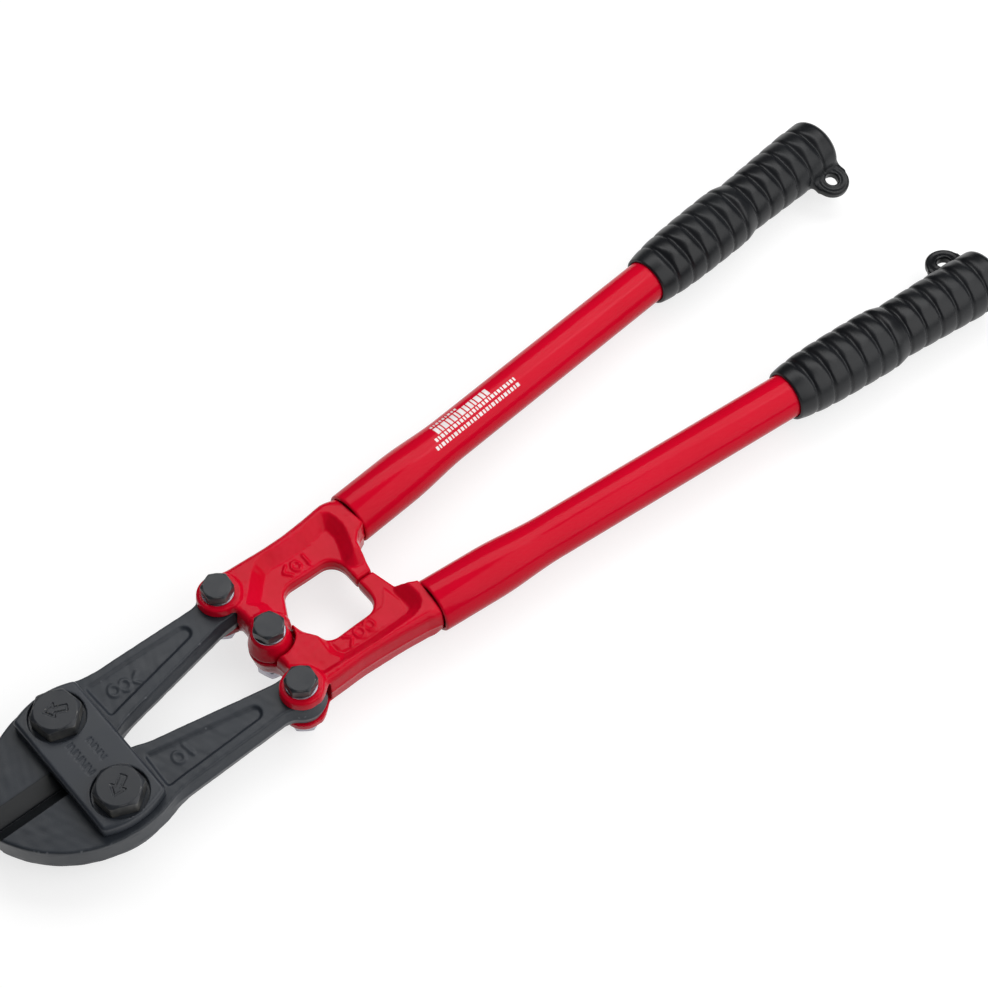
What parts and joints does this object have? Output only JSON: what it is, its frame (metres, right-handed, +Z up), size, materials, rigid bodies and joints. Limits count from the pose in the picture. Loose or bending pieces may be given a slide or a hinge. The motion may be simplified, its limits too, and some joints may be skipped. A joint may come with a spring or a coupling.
{
  "type": "bolt cutters",
  "caption": "Long-handled compound-lever cutters: two bevelled jaws between link plates, forged red yokes, tube handles and ringed grips with hanging eyes.",
  "frame": {"origin": "middle of the footprint, on the surface that the tool lies on", "axes": "+X from the grips to the jaws, +Y to the left handle, +Z up along the bolts"},
  "size_m": [0.4594, 0.1204, 0.0325],
  "materials": {
    "jaw_steel": "black-oxide forged steel, satin",
    "link_plate_steel": "black-oxide steel plate, satin",
    "bolt_steel": "black-oxide steel bolts, satin",
    "yoke_enamel": "gloss red enamel over rough forging",
    "tube_enamel": "gloss red enamel over smooth tube",
    "grip_pvc": "soft moulded PVC, satin black",
    "zinc_plate": "zinc-plated steel, bright"
  },
  "bodies": {
    "right_handle": {"yoke_right": "yoke_enamel", "handle_tube_right": "tube_enamel", "grip_right": "grip_pvc", "centre_bolt": "bolt_steel", "centre_washer": "zinc_plate", "centre_nut_washer": "zinc_plate", "centre_nut": "zinc_plate", "toggle_bolt_right": "bolt_steel", "toggle_washer_right": "zinc_plate", "toggle_nut_washer_right": "zinc_plate", "toggle_nut_right": "zinc_plate"},
    "left_handle": {"yoke_left": "yoke_enamel", "handle_tube_left": "tube_enamel", "grip_left": "grip_pvc", "toggle_bolt_left": "bolt_steel", "toggle_washer_left": "zinc_plate", "toggle_nut_washer_left": "zinc_plate", "toggle_nut_left": "zinc_plate"},
    "right_jaw": {"jaw_right": "jaw_steel"},
    "left_jaw": {"jaw_left": "jaw_steel"},
    "link": {"front_link_plate": "link_plate_steel", "rear_link_plate": "link_plate_steel", "link_bolt_right": "bolt_steel", "link_bolt_left": "bolt_steel", "link_nut_right": "zinc_plate", "link_nut_left": "zinc_plate"}
  },
  "joints": [
    {"name": "handles_open", "type": "hinge", "parent": "right_handle", "child": "left_handle", "pos_m": [0.10419, 0, 0.016], "axis": [0, 0, -1], "range_deg": [0, 100]},
    {"name": "right_jaw_swing", "type": "hinge", "parent": "right_handle", "child": "right_jaw", "pos_m": [0.10889, -0.0256, 0.016], "axis": [0, 0, -1], "range_deg": [0, 59.54]},
    {"name": "left_jaw_swing", "type": "hinge", "parent": "left_handle", "child": "left_jaw", "pos_m": [0.10889, 0.0256, 0.016], "axis": [0, 0, 1], "range_deg": [0, 59.54]},
    {"name": "link_swing", "type": "hinge", "parent": "left_jaw", "child": "link", "pos_m": [0.18539, 0.0197, 0.016], "axis": [0, 0, -1], "range_deg": [0, 9.54]}
  ],
  "couplings": [
    {"joint": "right_jaw_swing", "follows": "handles_open", "ratio": 0.5953},
    {"joint": "left_jaw_swing", "follows": "handles_open", "ratio": 0.5953},
    {"joint": "link_swing", "follows": "handles_open", "ratio": 0.0953}
  ]
}
